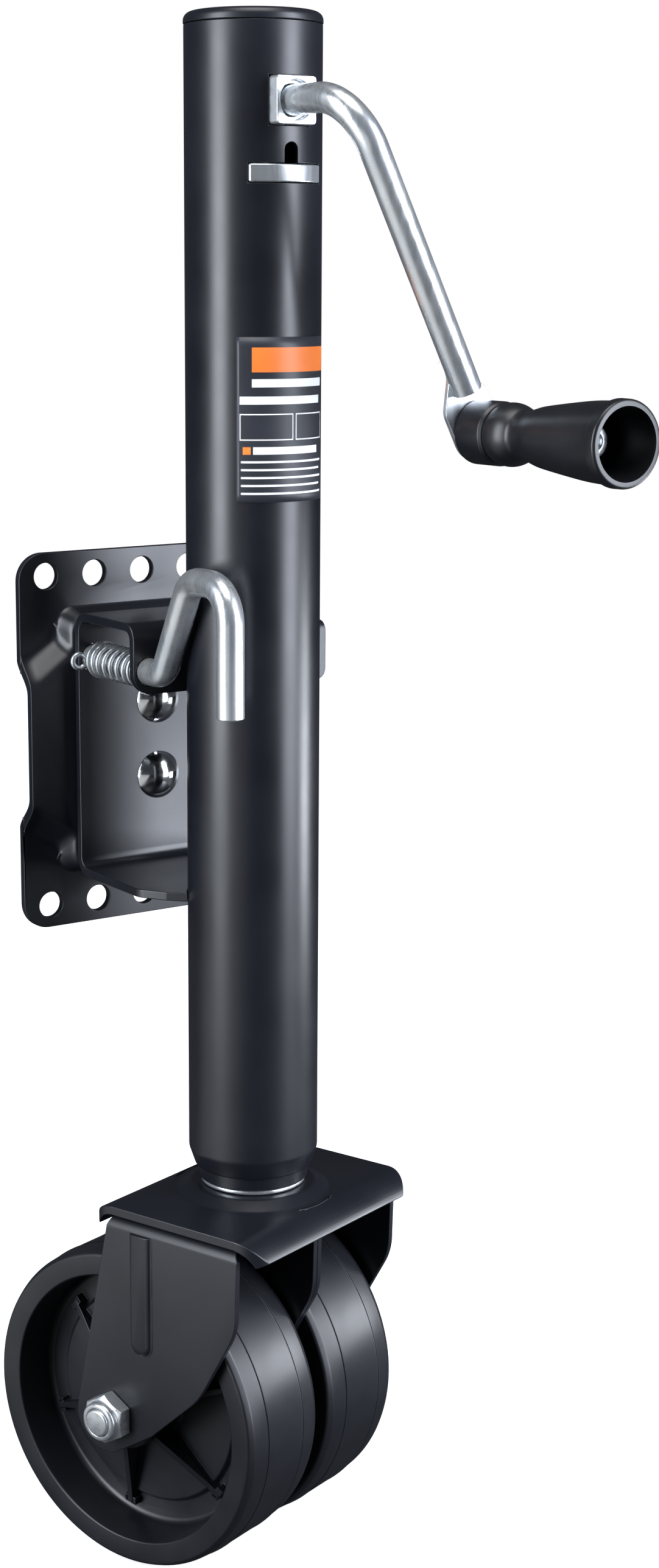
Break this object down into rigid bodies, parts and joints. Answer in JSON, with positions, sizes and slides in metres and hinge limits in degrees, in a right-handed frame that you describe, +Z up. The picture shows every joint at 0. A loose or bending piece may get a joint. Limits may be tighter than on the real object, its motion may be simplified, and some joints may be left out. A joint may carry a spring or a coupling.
{
  "type": "trailer tongue jack",
  "caption": "Side-wind swivel trailer jack: round tube with a crank and bevel-geared screw, telescoping leg, twin-wheel caster and a spring pull pin on a stamped mounting plate.",
  "frame": {"origin": "on the mounting plane, on the plate's centre line, in the land between the upper bolt row and the raised pan", "axes": "+Y out of the plate's back, towards the trailer's frame; +Z up along the jack's tube; +X to the right of a person who faces the crank"},
  "size_m": [0.179, 0.2911, 0.7108],
  "materials": {
    "black_paint": "satin black powder coat",
    "zinc_plate": "bright bluish zinc plate",
    "polished_steel": "polished steel",
    "dark_steel": "oiled plain steel",
    "grip_plastic": "moulded satin plastic",
    "wheel_plastic": "moulded satin plastic",
    "bearing_bronze": "plain bronze",
    "white_nylon": "natural nylon",
    "label_film": "dark printed film with orange and white blocks"
  },
  "bodies": {
    "mount": {"mounting_plate": "black_paint"},
    "jack": {"outer_tube": "black_paint", "top_cap": "black_paint", "front_shaft_bushing": "zinc_plate", "rear_shaft_bushing": "zinc_plate", "bearing_plate": "zinc_plate", "thrust_race_upper": "dark_steel", "label": "label_film", "swivel_bracket": "black_paint", "pivot_spacer": "dark_steel", "pivot_retainer": "dark_steel", "pivot_rivet_upper": "polished_steel", "pivot_rivet_lower": "polished_steel", "pin_spring": "zinc_plate"},
    "crank": {"crank_arm": "zinc_plate", "drive_pinion": "dark_steel", "pinion_roll_pin": "dark_steel", "shaft_clip": "dark_steel", "grip_bolt": "zinc_plate", "grip_nut": "zinc_plate"},
    "grip": {"handle_grip": "grip_plastic"},
    "screw": {"lead_screw": "dark_steel", "driven_bevel_gear": "dark_steel", "gear_roll_pin": "dark_steel", "thrust_ball_cage": "bearing_bronze", "thrust_race_lower": "dark_steel"},
    "leg": {"inner_leg": "black_paint", "lead_nut": "bearing_bronze", "leg_guide_ring": "white_nylon", "swivel_plug": "dark_steel", "swivel_retainer": "dark_steel", "swivel_clip": "dark_steel"},
    "caster": {"caster_plate": "black_paint", "swivel_washer": "zinc_plate", "fork_near": "black_paint", "fork_far": "black_paint", "axle_bolt": "zinc_plate", "axle_lock_nut": "zinc_plate", "inner_spacer_near": "zinc_plate", "inner_spacer_far": "zinc_plate", "outer_spacer_near": "zinc_plate", "outer_spacer_far": "zinc_plate"},
    "wheel_near": {"wheel_near": "wheel_plastic", "hub_bush_near": "bearing_bronze"},
    "wheel_far": {"wheel_far": "wheel_plastic", "hub_bush_far": "bearing_bronze"},
    "pull_pin": {"pull_pin": "zinc_plate", "pin_washer": "zinc_plate", "cotter_pin": "zinc_plate"}
  },
  "joints": [
    {"name": "swivel", "type": "hinge", "parent": "mount", "child": "jack", "pos_m": [0, -0.0143, -0.066], "axis": [0, 1, 0], "range_deg": [-90, 90]},
    {"name": "crank_spin", "type": "hinge", "parent": "jack", "child": "crank", "pos_m": [0, -0.1323, 0.2244], "axis": [0, 1, 0], "range_deg": [0, 32400]},
    {"name": "grip_spin", "type": "hinge", "parent": "crank", "child": "grip", "pos_m": [0.07082, -0.17295, 0.0854], "axis": [0, -1, 0], "continuous": true},
    {"name": "screw_spin", "type": "hinge", "parent": "jack", "child": "screw", "pos_m": [0, -0.1023, 0.1984], "axis": [0, 0, 1], "range_deg": [-21601, 0]},
    {"name": "leg_slide", "type": "slide", "parent": "jack", "child": "leg", "axis": [0, 0, -1], "range_m": [0, 0.3049]},
    {"name": "caster_swivel", "type": "hinge", "parent": "leg", "child": "caster", "pos_m": [0, -0.1023, -0.2679], "axis": [0, 0, 1], "continuous": true},
    {"name": "wheel_near_spin", "type": "hinge", "parent": "caster", "child": "wheel_near", "pos_m": [-0.04034, -0.07946, -0.3705], "axis": [0.9426, 0.3338, 0], "continuous": true},
    {"name": "wheel_far_spin", "type": "hinge", "parent": "caster", "child": "wheel_far", "pos_m": [0.01697, -0.05916, -0.3705], "axis": [0.9426, 0.3338, 0], "continuous": true},
    {"name": "pull_pin_slide", "type": "slide", "parent": "jack", "child": "pull_pin", "axis": [0, 1, 0], "range_m": [-0.005, 0.0045], "deforming": ["pin_spring"]}
  ],
  "couplings": [
    {"joint": "screw_spin", "follows": "crank_spin", "ratio": -0.66667},
    {"joint": "leg_slide", "follows": "crank_spin", "m_per_rad": 0.000539}
  ]
}
